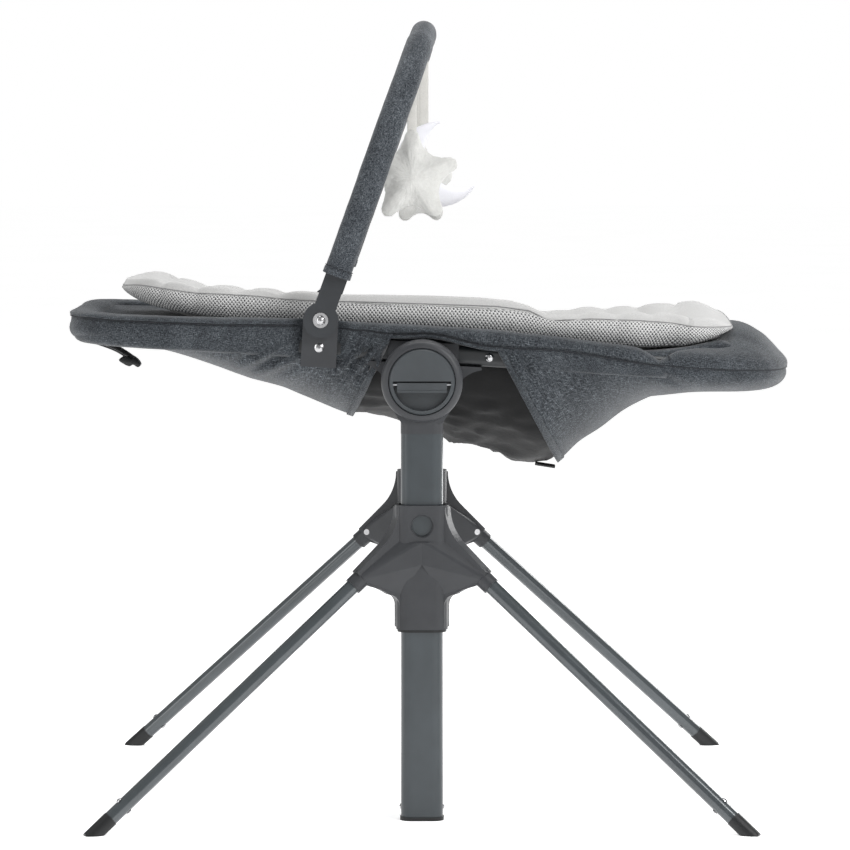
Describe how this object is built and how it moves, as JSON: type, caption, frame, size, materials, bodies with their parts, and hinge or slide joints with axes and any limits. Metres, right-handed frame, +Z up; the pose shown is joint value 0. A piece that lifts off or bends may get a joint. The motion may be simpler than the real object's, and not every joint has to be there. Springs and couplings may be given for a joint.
{
  "type": "baby swing",
  "caption": "Reclining baby swing: padded cradle seat on side hubs between two height-adjustable posts with splayed legs, arched toy bar with hanging plush toys.",
  "frame": {"origin": "on the floor, at the centre of the bounding box", "axes": "+Z up, +X towards the baby's feet, -Y towards the baby's right"},
  "size_m": [0.7819, 0.7288, 0.8565],
  "materials": {
    "moulded_grey": "fine moulded texture, dark grey",
    "leg_paint": "glossy dark grey paint",
    "post_paint": "satin dark grey paint",
    "frame_paint": "satin dark grey paint",
    "cap_plastic": "satin dark grey",
    "arm_plastic": "satin dark grey",
    "black_plastic": "matte near-black",
    "button_plastic": "matte mid grey",
    "bush_plastic": "natural white bearing plastic",
    "rivet_steel": "bright nickel-plated steel",
    "inner_steel": "zinc-plated steel",
    "melange_fabric": "woven dark grey melange",
    "black_fabric": "thin black polyester",
    "insert_jersey": "light grey jersey with a white knitted mesh side",
    "harness_webbing": "dark grey woven webbing",
    "toy_plush": "short off-white plush",
    "toy_white": "smooth white velour"
  },
  "bodies": {
    "stand": {"leg_hub_right": "moulded_grey", "leg_hub_left": "moulded_grey", "leg_front_right": "leg_paint", "leg_rear_right": "leg_paint", "leg_front_left": "leg_paint", "leg_rear_left": "leg_paint", "foot_front_right": "black_plastic", "foot_rear_right": "black_plastic", "foot_front_left": "black_plastic", "foot_rear_left": "black_plastic", "leg_rivets": "rivet_steel", "leg_screws": "inner_steel", "crossbar": "leg_paint", "guide_bush_right": "black_plastic", "guide_bush_left": "black_plastic"},
    "posts": {"post_right": "post_paint", "post_left": "post_paint", "post_foot_right": "black_plastic", "post_foot_left": "black_plastic", "post_foot_rivets": "rivet_steel", "hub_housing_right": "moulded_grey", "hub_housing_left": "moulded_grey", "hub_cap_right": "cap_plastic", "hub_cap_left": "cap_plastic", "hub_bushes": "bush_plastic", "lever_pins": "inner_steel"},
    "height_button_right": {"height_button_right": "black_plastic"},
    "height_button_left": {"height_button_left": "black_plastic"},
    "release_lever_right": {"release_lever_right": "cap_plastic"},
    "release_lever_left": {"release_lever_left": "cap_plastic"},
    "lock_bolt_right": {"lock_bolt_right": "inner_steel"},
    "lock_bolt_left": {"lock_bolt_left": "inner_steel"},
    "seat": {"tilt_axle_right": "inner_steel", "tilt_axle_left": "inner_steel", "axle_screws": "inner_steel", "carrier_right": "moulded_grey", "carrier_left": "moulded_grey", "seat_tube_rear": "frame_paint", "seat_tube_front": "frame_paint", "carrier_rivets": "rivet_steel", "toy_bracket_right": "moulded_grey", "toy_bracket_left": "moulded_grey", "bracket_rivets": "rivet_steel", "pivot_bolts": "rivet_steel", "seat_rim": "melange_fabric", "cover_rear": "melange_fabric", "cover_front": "melange_fabric", "sling": "black_fabric", "foot_pad": "melange_fabric", "insert_pad": "insert_jersey", "harness_straps": "harness_webbing", "harness_buckle": "black_plastic", "head_strap": "black_fabric"},
    "buckle_button": {"buckle_button": "button_plastic"},
    "toy_bar": {"toy_bar_arms": "arm_plastic", "toy_bar_tube": "inner_steel", "toy_bar_sleeve": "melange_fabric"},
    "toy_star_right": {"toy_star_right": "toy_plush"},
    "toy_moon": {"toy_moon": "toy_white"},
    "toy_star_left": {"toy_star_left": "toy_plush"}
  },
  "joints": [
    {"name": "height_slide", "type": "slide", "parent": "stand", "child": "posts", "axis": [0, 0, 1], "range_m": [0, 0.08]},
    {"name": "seat_tilt", "type": "hinge", "parent": "posts", "child": "seat", "pos_m": [-0.0101, 0, 0.471], "axis": [0, 1, 0], "range_deg": [-8, 32]},
    {"name": "toy_bar_tilt", "type": "hinge", "parent": "seat", "child": "toy_bar", "pos_m": [-0.11863, 0, 0.53435], "axis": [0, 1, 0], "range_deg": [-35, 30]},
    {"name": "toy_star_right_swing", "type": "hinge", "parent": "toy_bar", "child": "toy_star_right", "pos_m": [-0.02088, -0.18, 0.77499], "axis": [0, 1, 0], "range_deg": [-40, 40]},
    {"name": "toy_moon_swing", "type": "hinge", "parent": "toy_bar", "child": "toy_moon", "pos_m": [-0.00787, 0, 0.82032], "axis": [0, 1, 0], "range_deg": [-40, 40]},
    {"name": "toy_star_left_swing", "type": "hinge", "parent": "toy_bar", "child": "toy_star_left", "pos_m": [-0.01126, 0.14, 0.80854], "axis": [0, 1, 0], "range_deg": [-40, 40]},
    {"name": "height_button_right_push", "type": "slide", "parent": "posts", "child": "height_button_right", "axis": [0, 1, 0], "range_m": [0, 0.004], "stiffness_N_per_m": 800},
    {"name": "release_lever_right_pull", "type": "hinge", "parent": "posts", "child": "release_lever_right", "pos_m": [-0.0101, -0.2595, 0.468], "axis": [-1, 0, 0], "range_deg": [0, 25]},
    {"name": "lock_bolt_right_slide", "type": "slide", "parent": "posts", "child": "lock_bolt_right", "axis": [0, 0, -1], "range_m": [0, 0.0029], "stiffness_N_per_m": 600},
    {"name": "height_button_left_push", "type": "slide", "parent": "posts", "child": "height_button_left", "axis": [0, -1, 0], "range_m": [0, 0.004], "stiffness_N_per_m": 800},
    {"name": "release_lever_left_pull", "type": "hinge", "parent": "posts", "child": "release_lever_left", "pos_m": [-0.0101, 0.2595, 0.468], "axis": [1, 0, 0], "range_deg": [0, 25]},
    {"name": "lock_bolt_left_slide", "type": "slide", "parent": "posts", "child": "lock_bolt_left", "axis": [0, 0, -1], "range_m": [0, 0.0029], "stiffness_N_per_m": 600},
    {"name": "buckle_press", "type": "slide", "parent": "seat", "child": "buckle_button", "axis": [-0.0576, 0, -0.9983], "range_m": [0, 0.0025], "stiffness_N_per_m": 600}
  ],
  "couplings": [
    {"joint": "release_lever_right_pull", "follows": "lock_bolt_right_slide", "rad_per_m": 150},
    {"joint": "release_lever_left_pull", "follows": "lock_bolt_left_slide", "rad_per_m": 150}
  ]
}
